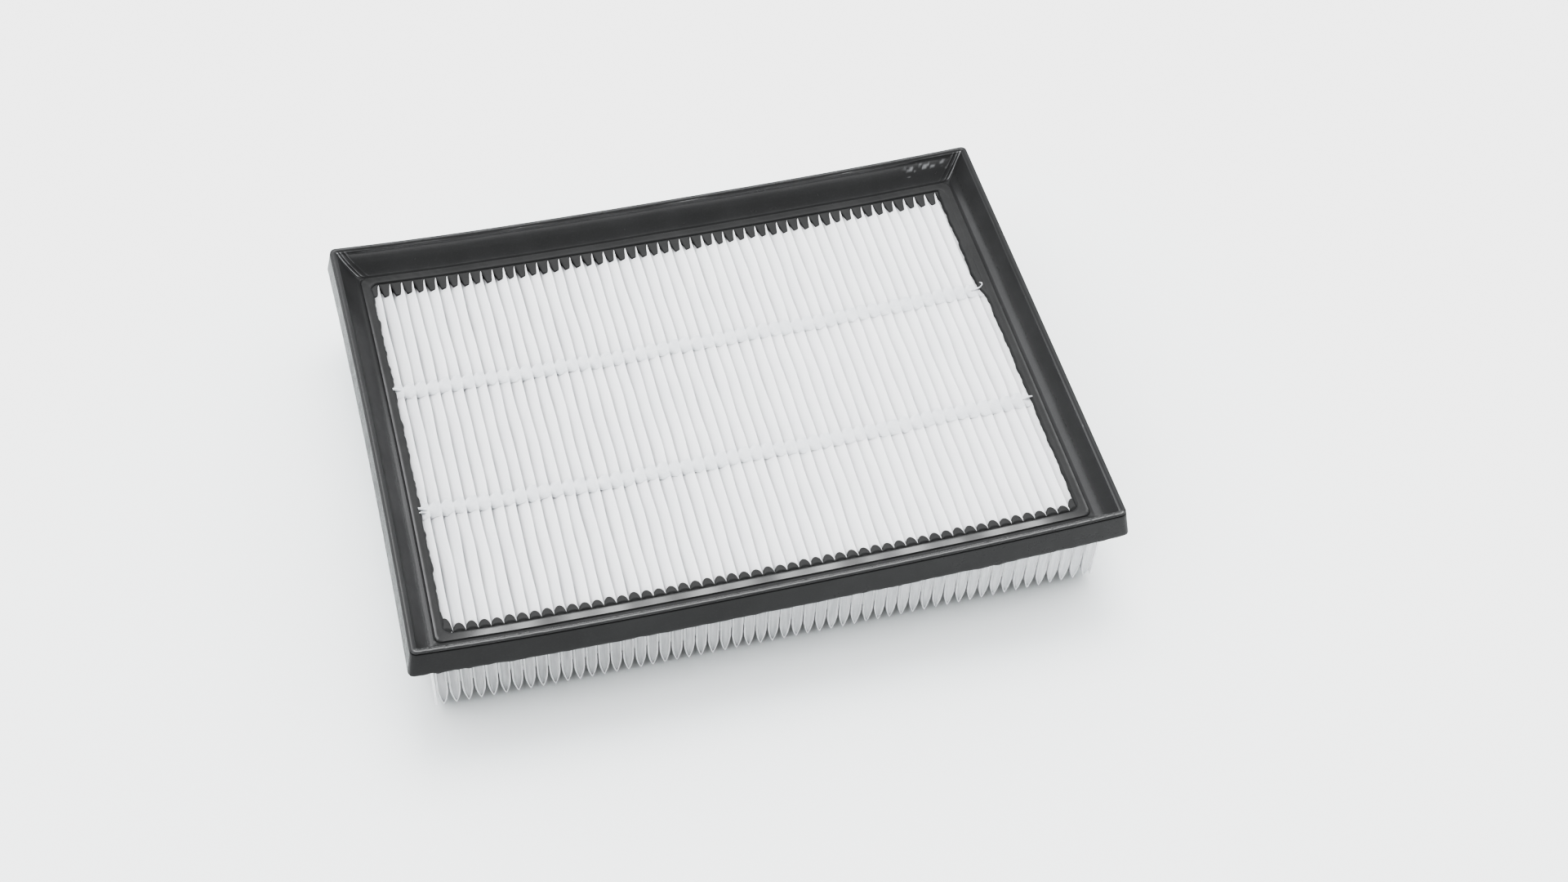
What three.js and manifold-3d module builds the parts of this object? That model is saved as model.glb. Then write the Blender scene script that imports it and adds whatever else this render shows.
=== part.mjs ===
// Panel air filter: a soft moulded sealing frame cast round a pack of zigzag pleats.
// Millimetres, +Z up. The origin is the middle of the base: X runs along the long side,
// and every pleat runs along Y.

import * as THREE from 'three';
import { ParametricGeometry } from 'three/addons/geometries/ParametricGeometry.js';
import { mergeVertices } from 'three/addons/utils/BufferGeometryUtils.js';
import Module from 'manifold-3d';

const wasm = await Module();
wasm.setup();

// Overall size, taken at the top of the rim.
const RIM_LENGTH = 282;
const RIM_WIDTH = 210;
const RIM_TOP = 48;

// Frame section. Insets are measured inwards from the rim's outer edge, depths down from its top.
const FRAME_DEPTH = 12.8;
const WALL_FLARE = 2;
const RIM_ROUND = 0.8;
const RIM_FLAT = 0.8;
const COVE_TOP_INSET = 2;
const COVE_TOP_DEPTH = 0.5;
const COVE_FOOT_INSET = 9.2;
const CREASE_INSET = 9.5;
const CREASE_DEPTH = 10.9;
const LEDGE_INSET = 9.9;
const LEDGE_DEPTH = 10.45;
const LIP_INSET = 13.8;
const LIP_CHAMFER = 0.3;
const LIP_DEPTH = 11.2;
const UNDERCUT_INSET = 13;
const OUTER_RADIUS = 2.5;
const COVE_RADIUS = 0.6;
const LEDGE_RADIUS = 2.3;
const LIP_RADIUS = 3.4;
const RIM_STEPS = 2;
const COVE_STEPS = 6;
const CORNER_STEPS = 4;

// Foam that rose between the pleats: teeth at the pleat ends, and a fill along each end groove.
const TOOTH_HEEL_INSET = 10;
const TOOTH_ROOT_INSET = 13.4;
const TOOTH_ROOT_DEPTH = 11.3;
const TOOTH_REACH = 18.7;
const TOOTH_TIP_DEPTH = 13.7;
const TOOTH_BOTTOM_DEPTH = 14.6;
const END_FILL_DEPTH = 12;
const END_FILL_INNER = 124.2;
const END_FILL_OUTER = 128.5;
const END_FILL_OVERLAP = 1;

// Pleat pack. Heights in the pack are measured up from the lower fold line.
const RIDGE_COUNT = 56;
const PITCH = 4.85;
const SHEET = 0.7;
const PACK_BASE = 0.8;
const PACK_TIP_DEPTH = 11.4;
const PACK_LENGTH = 200;
const RIDGE_HALF = 0.9;
const RIDGE_SHOULDER_DROP = 2;
const BELLY_HEIGHT = 16;
const TAPER_HEIGHT = 6.5;
const TAPER_HALF = 0.85;
const FOLD_INSIDE = 2.6;
const HAIRPIN_DROP = 1.2;
const PLY_END_GAP = 0.3;

// Hot-melt: separator beads across the pleats, and the seals that close the pleat ends.
const BEAD_OFFSET = 31.3;
const BEAD_WIDTH = 4;
const BEAD_SKIN = 0.45;
const BEAD_STUB = 1.8;
const BEAD_FLAT = 0.2;
const UPPER_BEAD_RIDGES = 52;
const UPPER_BEAD_DEPTH = 15;
const LOWER_BEAD_FLAT = 0.35;
const SEAL_DEPTH = 4;
const SEAL_STRIP_THICKNESS = 0.6;
const SEAL_STRIP_HEIGHT = 2;
const SEAL_PLUG_FOOT = 3.2;

// Clearance kept between neighbouring pieces, and the distance that merges two equal corners.
const GAP = 0.3;
const MERGE_DISTANCE = 1e-4;

const packHeight = RIM_TOP - PACK_TIP_DEPTH - PACK_BASE;
const halfPitch = PITCH / 2;
const grooveHalf = halfPitch - RIDGE_HALF;
const packEnd = PACK_LENGTH / 2;
const lastRidge = (RIDGE_COUNT - 1) * halfPitch;

const black = new THREE.MeshStandardMaterial({ color: 0x3a3b3c, roughness: 0.55, metalness: 0 });
const white = new THREE.MeshStandardMaterial({ color: 0xecedef, roughness: 0.9, metalness: 0 });
const clear = new THREE.MeshStandardMaterial({ color: 0xd9dadb, roughness: 0.4, metalness: 0 });

// --- Solids -------------------------------------------------------------------------------

function toSolid(geometry) {
  const bare = geometry.clone();
  for (const name of Object.keys(bare.attributes)) {
    if (name !== 'position') bare.deleteAttribute(name);
  }
  const merged = mergeVertices(bare, MERGE_DISTANCE);
  const vertProperties = new Float32Array(merged.attributes.position.array);
  const triVerts = new Uint32Array(merged.index.array);
  return new wasm.Manifold(new wasm.Mesh({ numProp: 3, vertProperties, triVerts }));
}

function toGeometry(solid) {
  const { vertProperties, triVerts } = solid.getMesh();
  const geometry = new THREE.BufferGeometry();
  geometry.setAttribute('position', new THREE.BufferAttribute(vertProperties, 3));
  geometry.setIndex(new THREE.BufferAttribute(triVerts, 1));
  geometry.computeVertexNormals();
  return geometry;
}

// A shape drawn in X and Z, extruded along Y from `front` to `rear`.
function alongY(points, front, rear) {
  const shape = new THREE.Shape(points.map(([x, z]) => new THREE.Vector2(x, z)));
  const geometry = new THREE.ExtrudeGeometry(shape, { depth: rear - front, bevelEnabled: false });
  return geometry.rotateX(Math.PI / 2).translate(0, rear, 0);
}

// A shape drawn in Y and Z, extruded along X from `left` to `right`.
function alongX(points, left, right) {
  const shape = new THREE.Shape(points.map(([y, z]) => new THREE.Vector2(y, z)));
  const geometry = new THREE.ExtrudeGeometry(shape, { depth: right - left, bevelEnabled: false });
  return geometry.rotateY(Math.PI / 2).rotateX(Math.PI / 2).translate(left, 0, 0);
}

function boxBetween(low, high) {
  const size = high.map((value, axis) => value - low[axis]);
  const centre = high.map((value, axis) => (value + low[axis]) / 2);
  return new THREE.BoxGeometry(...size).translate(...centre);
}

// --- Seal frame ---------------------------------------------------------------------------

// The frame's closed section, as [inset, depth, corner radius].
function frameSection() {
  const section = [[-WALL_FLARE, FRAME_DEPTH, OUTER_RADIUS]];
  for (let step = 0; step <= RIM_STEPS; step += 1) {
    const angle = (step / RIM_STEPS) * (Math.PI / 2);
    const inset = RIM_ROUND * (1 - Math.cos(angle));
    section.push([inset, RIM_ROUND * (1 - Math.sin(angle)), OUTER_RADIUS - inset]);
  }
  section.push([RIM_ROUND + RIM_FLAT, 0, OUTER_RADIUS - RIM_ROUND - RIM_FLAT]);
  const coveWidth = COVE_FOOT_INSET - COVE_TOP_INSET;
  const coveDepth = LEDGE_DEPTH - COVE_TOP_DEPTH;
  for (let step = 0; step <= COVE_STEPS; step += 1) {
    const angle = (step / COVE_STEPS) * (Math.PI / 2);
    const inset = COVE_FOOT_INSET - coveWidth * Math.cos(angle);
    section.push([inset, COVE_TOP_DEPTH + coveDepth * Math.sin(angle), COVE_RADIUS]);
  }
  section.push(
    [CREASE_INSET, CREASE_DEPTH, LEDGE_RADIUS],
    [LEDGE_INSET, LEDGE_DEPTH, LEDGE_RADIUS],
    [LIP_INSET - LIP_CHAMFER, LEDGE_DEPTH, LIP_RADIUS],
    [LIP_INSET, LEDGE_DEPTH + LIP_CHAMFER, LIP_RADIUS],
    [LIP_INSET, LIP_DEPTH, LIP_RADIUS],
    [UNDERCUT_INSET, LIP_DEPTH, LIP_RADIUS],
    [UNDERCUT_INSET, FRAME_DEPTH, LIP_RADIUS],
  );
  return section;
}

// Sweeps the section round the rounded rectangle of the rim, with mitred corners.
function frameRing() {
  const section = frameSection();
  const perCorner = CORNER_STEPS + 1;
  const around = 4 * perCorner;
  const place = (u, v, target) => {
    const [inset, depth, radius] = section[Math.round(v * section.length) % section.length];
    const index = Math.round(u * around) % around;
    const corner = Math.floor(index / perCorner);
    const angle = (corner + (index % perCorner) / CORNER_STEPS) * (Math.PI / 2);
    const signX = corner === 0 || corner === 3 ? 1 : -1;
    const signY = corner < 2 ? 1 : -1;
    target.set(
      signX * (RIM_LENGTH / 2 - inset - radius) + radius * Math.cos(angle),
      signY * (RIM_WIDTH / 2 - inset - radius) + radius * Math.sin(angle),
      RIM_TOP - depth,
    );
  };
  return new ParametricGeometry(place, around, section.length);
}

// The foam that fills the grooves at one side's pleat ends, before the pack is cut out of it.
function toothBar(side) {
  const place = (inset, depth) => [side * (RIM_WIDTH / 2 - inset), RIM_TOP - depth];
  const outline = [
    place(TOOTH_HEEL_INSET, TOOTH_ROOT_DEPTH),
    place(TOOTH_ROOT_INSET, TOOTH_ROOT_DEPTH),
    place(TOOTH_REACH, TOOTH_TIP_DEPTH),
    place(TOOTH_REACH, TOOTH_BOTTOM_DEPTH),
    place(UNDERCUT_INSET, TOOTH_BOTTOM_DEPTH),
    place(TOOTH_HEEL_INSET, FRAME_DEPTH),
  ];
  return alongX(outline, -END_FILL_OUTER, END_FILL_OUTER);
}

// The foam that fills the groove beside one end of the opening.
function endFill(side) {
  const reach = RIM_WIDTH / 2 - LIP_INSET + END_FILL_OVERLAP;
  const near = side * END_FILL_INNER;
  const far = side * END_FILL_OUTER;
  return boxBetween(
    [Math.min(near, far), -reach, RIM_TOP - TOOTH_BOTTOM_DEPTH],
    [Math.max(near, far), reach, RIM_TOP - END_FILL_DEPTH],
  );
}

function sealFrame() {
  let solid = toSolid(frameRing());
  for (const side of [-1, 1]) {
    solid = solid.add(toSolid(toothBar(side))).add(toSolid(endFill(side)));
  }
  const packSpace = alongY(packEnvelope(), -packEnd - GAP, packEnd + GAP);
  return toGeometry(solid.subtract(toSolid(packSpace)));
}

// --- Pleat pack ---------------------------------------------------------------------------

function ridgeX(index) {
  return index * PITCH - lastRidge;
}

// The upper face of the pleats, left to right, moved out from the sheet by `clearance`.
function upperFace(clearance) {
  const points = [];
  const half = RIDGE_HALF + clearance;
  const shoulder = packHeight - RIDGE_SHOULDER_DROP;
  const taper = halfPitch - TAPER_HALF + clearance;
  for (let index = 0; index < RIDGE_COUNT; index += 1) {
    const x = ridgeX(index);
    if (index > 0) {
      points.push([x - taper, TAPER_HEIGHT], [x - half, BELLY_HEIGHT]);
    }
    points.push([x - half, shoulder], [x, packHeight + clearance], [x + half, shoulder]);
    if (index < RIDGE_COUNT - 1) {
      points.push([x + half, BELLY_HEIGHT], [x + taper, TAPER_HEIGHT]);
      points.push([x + halfPitch, FOLD_INSIDE + clearance]);
    }
  }
  return points;
}

// The lower face of the pleats, right to left.
function lowerFace() {
  const points = [];
  const hairpin = packHeight - HAIRPIN_DROP;
  const slot = RIDGE_HALF - SHEET;
  const taper = halfPitch - TAPER_HALF - SHEET;
  for (let index = RIDGE_COUNT - 1; index >= 0; index -= 1) {
    const x = ridgeX(index);
    if (index < RIDGE_COUNT - 1) {
      points.push([x + halfPitch, 0], [x + taper, TAPER_HEIGHT], [x + slot, BELLY_HEIGHT]);
    }
    points.push([x, hairpin]);
    if (index > 0) {
      points.push([x - slot, BELLY_HEIGHT], [x - taper, TAPER_HEIGHT]);
    }
  }
  return points;
}

function raised(points) {
  return points.map(([x, height]) => [x, height + PACK_BASE]);
}

// The pack's sheet: the upper face, the right outer ply, the lower face, the left outer ply.
function pleatedMedia() {
  const outer = lastRidge + RIDGE_HALF;
  const inner = outer - SHEET;
  const points = [
    ...upperFace(0),
    [outer, PLY_END_GAP],
    [inner, PLY_END_GAP],
    ...lowerFace(),
    [-inner, PLY_END_GAP],
    [-outer, PLY_END_GAP],
  ];
  return alongY(raised(points), -packEnd, packEnd);
}

// Everything on or under the pleats' upper face, with clearance: the space cut from the frame.
function packEnvelope() {
  const outer = lastRidge + RIDGE_HALF + GAP;
  return raised([...upperFace(GAP), [outer, 0], [-outer, 0]]);
}

// --- Hot-melt -----------------------------------------------------------------------------

// A bead over the ridges, with a tapering tooth in each groove between them.
function upperBead(side) {
  const shoulder = packHeight - RIDGE_SHOULDER_DROP;
  const under = packHeight + GAP;
  const top = under + BEAD_SKIN;
  const first = (RIDGE_COUNT - UPPER_BEAD_RIDGES) / 2;
  const last = first + UPPER_BEAD_RIDGES - 1;
  const end = ridgeX(last) + BEAD_STUB;
  const points = [[end, under], [end, top], [-end, top], [-end, under]];
  for (let index = first; index <= last; index += 1) {
    const x = ridgeX(index);
    points.push([x - BEAD_FLAT, under], [x + BEAD_FLAT, under]);
    if (index < last) {
      points.push([x + RIDGE_HALF + GAP, shoulder], [x + halfPitch, packHeight - UPPER_BEAD_DEPTH]);
      points.push([x + PITCH - RIDGE_HALF - GAP, shoulder]);
    }
  }
  const middle = side * BEAD_OFFSET;
  return alongY(raised(points), middle - BEAD_WIDTH / 2, middle + BEAD_WIDTH / 2);
}

// A bead under the lower folds, with a wedge in each gap between them.
function lowerBead(side) {
  const over = -GAP;
  const bottom = -PACK_BASE;
  const wedgeHalf = halfPitch - TAPER_HALF - SHEET - GAP;
  const end = lastRidge - halfPitch + BEAD_STUB;
  const points = [[-end, over], [-end, bottom], [end, bottom], [end, over]];
  for (let index = RIDGE_COUNT - 2; index >= 0; index -= 1) {
    const fold = ridgeX(index) + halfPitch;
    const gap = ridgeX(index);
    points.push([fold + LOWER_BEAD_FLAT, over], [fold - LOWER_BEAD_FLAT, over]);
    if (index > 0) {
      points.push([gap + wedgeHalf, TAPER_HEIGHT], [gap - wedgeHalf, TAPER_HEIGHT]);
    }
  }
  const middle = side * BEAD_OFFSET;
  return alongY(raised(points), middle - BEAD_WIDTH / 2, middle + BEAD_WIDTH / 2);
}

// A plug in the end of every groove, joined by a strip across the cut edges under the frame.
function edgeSeal(side) {
  const stripTop = RIM_TOP - FRAME_DEPTH - GAP - PACK_BASE;
  const stripBottom = stripTop - SEAL_STRIP_HEIGHT;
  const half = grooveHalf - GAP;
  const inner = side * (packEnd - SEAL_DEPTH);
  const face = side * (packEnd + GAP);
  const outer = side * (packEnd + GAP + SEAL_STRIP_THICKNESS);
  const middle = (face + outer) / 2;
  const end = lastRidge - RIDGE_HALF - GAP;
  let solid = toSolid(boxBetween(
    [-end, Math.min(face, outer), stripBottom + PACK_BASE],
    [end, Math.max(face, outer), stripTop + PACK_BASE],
  ));
  for (let index = 0; index < RIDGE_COUNT - 1; index += 1) {
    const x = ridgeX(index) + halfPitch;
    const plug = [
      [x, SEAL_PLUG_FOOT],
      [x + half, BELLY_HEIGHT],
      [x + half, stripTop - GAP],
      [x - half, stripTop - GAP],
      [x - half, BELLY_HEIGHT],
    ];
    const geometry = alongY(raised(plug), Math.min(inner, middle), Math.max(inner, middle));
    solid = solid.add(toSolid(geometry));
  }
  return toGeometry(solid);
}

// --- Assembly -----------------------------------------------------------------------------

function piece(name, geometry, material) {
  const mesh = new THREE.Mesh(geometry, material);
  mesh.name = name;
  return mesh;
}

const group = new THREE.Group();
group.add(piece('seal_frame', sealFrame(), black));
group.add(piece('pleated_media', pleatedMedia(), white));
for (const [place, side] of [['front', -1], ['rear', 1]]) {
  group.add(piece(`separator_bead_upper_${place}`, upperBead(side), clear.clone()));
  group.add(piece(`separator_bead_lower_${place}`, lowerBead(side), clear.clone()));
  group.add(piece(`edge_seal_${place}`, edgeSeal(side), clear.clone()));
}

export default group;
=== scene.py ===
"""A pleated panel air filter: a soft moulded seal frame round a folded pack of white media,
held in pitch by hot-melt beads above and below and sealed along its two cut ends.

All modelling is in millimetres, in the frame of the CAD, and meshes are written in metres.
"""
import math

import bpy
import numpy as np
from mathutils import Matrix, Vector


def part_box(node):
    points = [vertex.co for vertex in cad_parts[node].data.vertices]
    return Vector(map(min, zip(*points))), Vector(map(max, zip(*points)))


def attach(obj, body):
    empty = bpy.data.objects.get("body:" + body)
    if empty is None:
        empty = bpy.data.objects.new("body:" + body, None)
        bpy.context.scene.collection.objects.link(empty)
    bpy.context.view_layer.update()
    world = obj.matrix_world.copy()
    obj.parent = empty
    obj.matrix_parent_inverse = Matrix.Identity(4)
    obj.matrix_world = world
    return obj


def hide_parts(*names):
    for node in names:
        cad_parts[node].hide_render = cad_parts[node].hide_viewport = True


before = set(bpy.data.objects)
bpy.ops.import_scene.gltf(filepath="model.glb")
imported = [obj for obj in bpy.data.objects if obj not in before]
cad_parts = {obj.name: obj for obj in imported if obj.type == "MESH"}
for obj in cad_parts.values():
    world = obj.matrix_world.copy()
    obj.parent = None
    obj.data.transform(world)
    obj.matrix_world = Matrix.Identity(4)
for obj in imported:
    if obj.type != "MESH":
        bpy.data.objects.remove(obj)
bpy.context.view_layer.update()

MM = 0.001


def box_mm(node):
    """A node's lowest and highest corner in millimetres."""
    low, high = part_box(node)
    return [v / MM for v in low], [v / MM for v in high]


frame_high = box_mm("seal_frame")[1]
media_low, media_high = box_mm("pleated_media")

# Seal frame. An inset is measured inward from the rim's outline, a depth down from its top.
WALL_FLARE = 2.0
RIM_TOP = frame_high[2]
RIM_HALF_X = frame_high[0] - WALL_FLARE
RIM_HALF_Y = frame_high[1] - WALL_FLARE
FRAME_DEPTH = 12.8
COVE_TOP_INSET = 2.5
COVE_TOP_DEPTH = 0.85
COVE_FLATNESS = 1.55
FOOT_INSET = 9.2
FOOT_DEPTH = 10.3
LEDGE_INSET = 10.3
LEDGE_DEPTH = 10.45
LIP_INSET = 13.8
LIP_DEPTH = 11.28
CORNER_STEPS = 8
LONG_STEPS = 300
SHORT_STEPS = 220
# How much closer together the ring's points lie towards its corners than at the middle of a side
CORNER_CROWDING = 0.72
FLASH_HEIGHT = 0.65

# Foam teeth by side, -1 near and 1 far: the inset they reach, the depth of their tips, and how much
# longer some are, counted in pleats from the middle
TOOTH_REACH = {-1: 17.8, 1: 19.6}
TOOTH_TIP_DEPTH = {-1: 11.45, 1: 11.7}
LONG_TEETH = {-1: {-26: 3.4, 26: 1.8}, 1: {26: 1.5}}
TOOTH_HALF = 2.36
TOOTH_TAPER = 0.58
TOOTH_FOOT = 16.4
TOOTH_POINTS_PER_PITCH = 18
FILL_FOOT = 17.4

# The cove is straighter at the +X end: the insets of that line at three depths, and its share
END_COVE_DEPTH = [COVE_TOP_DEPTH, 8.2, FOOT_DEPTH]
END_COVE_INSET = [COVE_TOP_INSET, 7.2, FOOT_INSET]
END_COVE_SHARE = 0.75

# Distance from the middle to the inner edge of the two end fills. The +X one steps in at its far part.
LEFT_FILL_EDGE = 126.9
RIGHT_FILL_EDGE = 126.6
RIGHT_FILL_STEP = 2.0

# Wrinkles of the skin beside the far mitres: distance from the mitre, curl, half width, height
WRINKLES = [(0.5, 0.7, 0.32, 0.34), (1.7, 1.4, 0.34, 0.24), (3.6, 2.2, 0.4, 0.15)]

# Pleat pack. Ridges are counted from the -X end, and fold k lies between ridges k and k + 1.
RIDGE_COUNT = 56
FOLD_COUNT = RIDGE_COUNT - 1
PITCH = 4.85
HALF_PITCH = PITCH / 2
PACK_TOP = media_high[2]
PACK_FOOT = media_low[2]
PACK_END = media_high[1]
LAST_RIDGE = (RIDGE_COUNT - 1) / 2 * PITCH
SHEET_THICKNESS = 0.7
PACK_HEIGHT = PACK_TOP - PACK_FOOT
# Half width of a ridge and of the slot inside it, depth over which a crest rounds off, height of the
# floor of a groove, and height at which a fold is widest
RIDGE_HALF = 0.9
SLOT_HALF = 0.22
CREST_DEPTH = 2.2
GROOVE_FLOOR = 0.9
BELLY = 11.5

# Lean of the pleats towards -X below their crests: in the open, where the teeth hold them, the depth
# over which it sets in at the -X and the +X end, and the depths between which it ends
LEAN = 5.0
LEAN_AT_TEETH = {-1: 1.2, 1: 4.0}
LEAN_RATE = (1.6, 0.85)
LEAN_BACK_FROM = 8.0
LEAN_BACK_TO = 20.0
# Distance outward from the tips of the teeth at which the lean has come down to LEAN_AT_TEETH
LEAN_SETTLE = {-1: 1.8, 1: 4.8}

# Sideways wander of the pleats and of their lower folds, unevenness of the crests, how much lower the
# crests are behind the near teeth, and the distances from the middle between which the foam takes hold
WANDER = 0.20
FOLD_WANDER = 0.08
CREST_UNEVEN = 0.18
NEAR_DIP = 1.1
FOAM_HOLD = (91, 97)

# Hot melt: place of the beads, spacing of their points, half widths, how deep the upper ones sink into
# a groove at most, and how far the lower ones rise between the folds
BEAD_OFFSET = 31.3
BEAD_STEP = 0.24
UPPER_BEAD_HALF = 3.3
LOWER_BEAD_HALF = 1.7
BEAD_SINK = 3.2
BEAD_RISE = 5.5

# The real part's distortion: dip of the long sides, how much less it is on the far side, rise of the
# pack's foot at its ends, and bow of the -X end
SAG = 3.9
SAG_FALL = 0.55
FOOT_RISE = 2.2
END_BOW = 1.2

FOAM_NAME = "seal_foam_skin"

# Studio, in metres: a bright dome with a dark patch high up in front, one softbox behind and above,
# and a tone curve with a soft shoulder
SKY_DARK_WAY = (0.05, -0.72, 0.69)
SKY_DARK_EDGE = (0.7, 0.9)
SKY_DARK = 0.34
SKY_BRIGHT = 1.32
SOFTBOX_AT = (0.24, 0.91, 1.77)
SOFTBOX_SIZE = (1.2, 0.9)
SOFTBOX_WATTS = 9
FLOOR_HALF = 4.0
SENSOR_MM = 36.0
LENS_MM = 53.92
CAMERA_AT = (-0.15897, -0.59644, 0.77696)
CAMERA_RIGHT = (0.9653, -0.2582, 0.0386)
CAMERA_BACK = (-0.1906, -0.5962, 0.7799)
TONE_CURVE = [(0, 0), (0.06, 0.05), (0.2, 0.25), (0.4, 0.55), (0.65, 0.72), (0.9, 0.81), (1.3, 0.85),
              (3.0, 0.90)]

# Inputs of a Map Range node (from low, from high, to low, to high), and a Mix node's two colours
RANGE_INPUTS = (1, 2, 3, 4)
MIX_COLOURS = (6, 7)


# ---------------------------------------------------------------- small helpers
def smooth(edge0, edge1, value):
    """0 below edge0, 1 above edge1, with a smooth step between."""
    t = np.clip((value - edge0) / (edge1 - edge0), 0, 1)
    return t * t * (3 - 2 * t)


def hump(value, centre, half, power=2):
    """1 at the centre and near 0 beyond half. A higher power makes it flatter on top."""
    return np.exp(-(((value - centre) / half) ** power))


def wave(t, seed, lengths):
    """A smooth wander of about -1 to 1 along t, with a random phase for each length."""
    rng = np.random.default_rng(seed)
    total = np.zeros(np.shape(t))
    for length in lengths:
        total = total + np.sin(2 * np.pi * (np.asarray(t) / length + rng.random()))
    return total / math.sqrt(len(lengths))


def bumps(t, seed, count, span, width):
    """Separate rounded bumps at random places along t, each 0 to 1 high."""
    rng = np.random.default_rng(seed)
    total = np.zeros(np.shape(t))
    for _ in range(count):
        at = rng.uniform(*span)
        wide = rng.uniform(*width)
        high = rng.uniform(0.35, 1.0)
        total = np.maximum(total, high * hump(t, at, wide))
    return total


def warp(points):
    """The soft frame's real sag: long sides dip at the middle, and one end bows in a little."""
    x, y, z = points.T
    across, along = x / RIM_HALF_X, y / RIM_HALF_Y
    hang = np.clip(1 - np.abs(across) ** 2.6, 0, 1) * (1 - 0.15 * across)
    lift = np.clip(z / RIM_TOP, 0, 1)
    dip = (SAG - SAG_FALL * along) * hang * lift
    rise = FOOT_RISE * (1 - hang).clip(0, 1) * (1 - lift)
    bow = END_BOW * (1 - np.clip(along, -1, 1) ** 2) * (1 - across) / 2
    return np.stack([x + bow, y, z - dip + rise], 1)


def grid_faces(rows, columns, close_rows=False, close_columns=False):
    """Quads of a grid of points held row by row, closed into a tube or ring where asked."""
    r = np.arange(rows if close_rows else rows - 1)
    c = np.arange(columns if close_columns else columns - 1)
    rr, cc = np.meshgrid(r, c, indexing="ij")
    r2, c2 = (rr + 1) % rows, (cc + 1) % columns
    corners = [rr * columns + cc, rr * columns + c2, r2 * columns + c2, r2 * columns + cc]
    return np.stack(corners, -1).reshape(-1, 4)


def faces_outward(points, quads, fans):
    """True if a closed block of faces encloses a positive volume."""
    volume = 0.0
    for a, b, c in ((0, 1, 2), (0, 2, 3)):
        first, second, third = points[quads[:, a]], points[quads[:, b]], points[quads[:, c]]
        volume += np.einsum("ij,ij->", first, np.cross(second, third))
    for fan in fans:
        ring = points[fan]
        volume += np.einsum("j,ij->", ring[0], np.cross(ring[1:-1], ring[2:]))
    return volume > 0


class Shell:
    """Collects vertices and faces of one piece, then makes the object."""

    def __init__(self):
        self.points, self.quads, self.fans, self.gloss, self.count = [], [], [], [], 0

    def add(self, points, quads, fans=(), gloss=None):
        """Takes a block of points with faces that count from its own first point."""
        if not faces_outward(points, quads, fans):
            quads, fans = quads[:, ::-1], [fan[::-1] for fan in fans]
        self.points.append(points)
        self.gloss.append(np.zeros(len(points)) if gloss is None else gloss.ravel())
        self.quads.append(quads + self.count)
        for fan in fans:
            self.fans.append([i + self.count for i in fan])
        self.count += len(points)

    def sweep(self, grid):
        """A tube: grid[i, j] is point j of the closed section i. Its two ends are capped."""
        rows, columns, _ = grid.shape
        quads = grid_faces(rows, columns, close_columns=True)
        first = list(range(columns))[::-1]
        last = list(range((rows - 1) * columns, rows * columns))
        self.add(grid.reshape(-1, 3), quads, [first, last])

    def ring(self, grid, gloss):
        """A closed ring of closed sections, with the gloss and painted light of each point."""
        rows, columns, _ = grid.shape
        quads = grid_faces(rows, columns, close_rows=True, close_columns=True)
        self.add(grid.reshape(-1, 3), quads, gloss=gloss)

    def make(self, name, node, material, smooth_angle):
        """Writes the warped mesh in metres, and lets it stand for a node of the CAD."""
        points = warp(np.concatenate(self.points)) * MM
        quads = np.concatenate(self.quads)
        mesh = bpy.data.meshes.new(name)
        loops = np.concatenate([quads.ravel(), *[np.array(f, int) for f in self.fans]])
        sizes = np.concatenate([np.full(len(quads), 4), np.array([len(f) for f in self.fans], int)])
        mesh.vertices.add(len(points))
        mesh.vertices.foreach_set("co", points.astype(np.float32).ravel())
        mesh.loops.add(len(loops))
        mesh.loops.foreach_set("vertex_index", loops.astype(np.int32))
        mesh.polygons.add(len(sizes))
        starts = np.concatenate([[0], np.cumsum(sizes)[:-1]])
        mesh.polygons.foreach_set("loop_start", starts.astype(np.int32))
        mesh.update(calc_edges=True)
        mesh.validate()
        mesh.materials.append(material)
        if material.name == FOAM_NAME:
            shine_and_painted_light = mesh.attributes.new("gloss", "FLOAT", "POINT")
            shine_and_painted_light.data.foreach_set("value", np.concatenate(self.gloss).astype(np.float32))
        mesh.shade_smooth()
        obj = bpy.data.objects.new(name, mesh)
        bpy.context.scene.collection.objects.link(obj)
        mesh.set_sharp_from_angle(angle=math.radians(smooth_angle))
        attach(obj, "root")
        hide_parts(node)
        return obj


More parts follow.
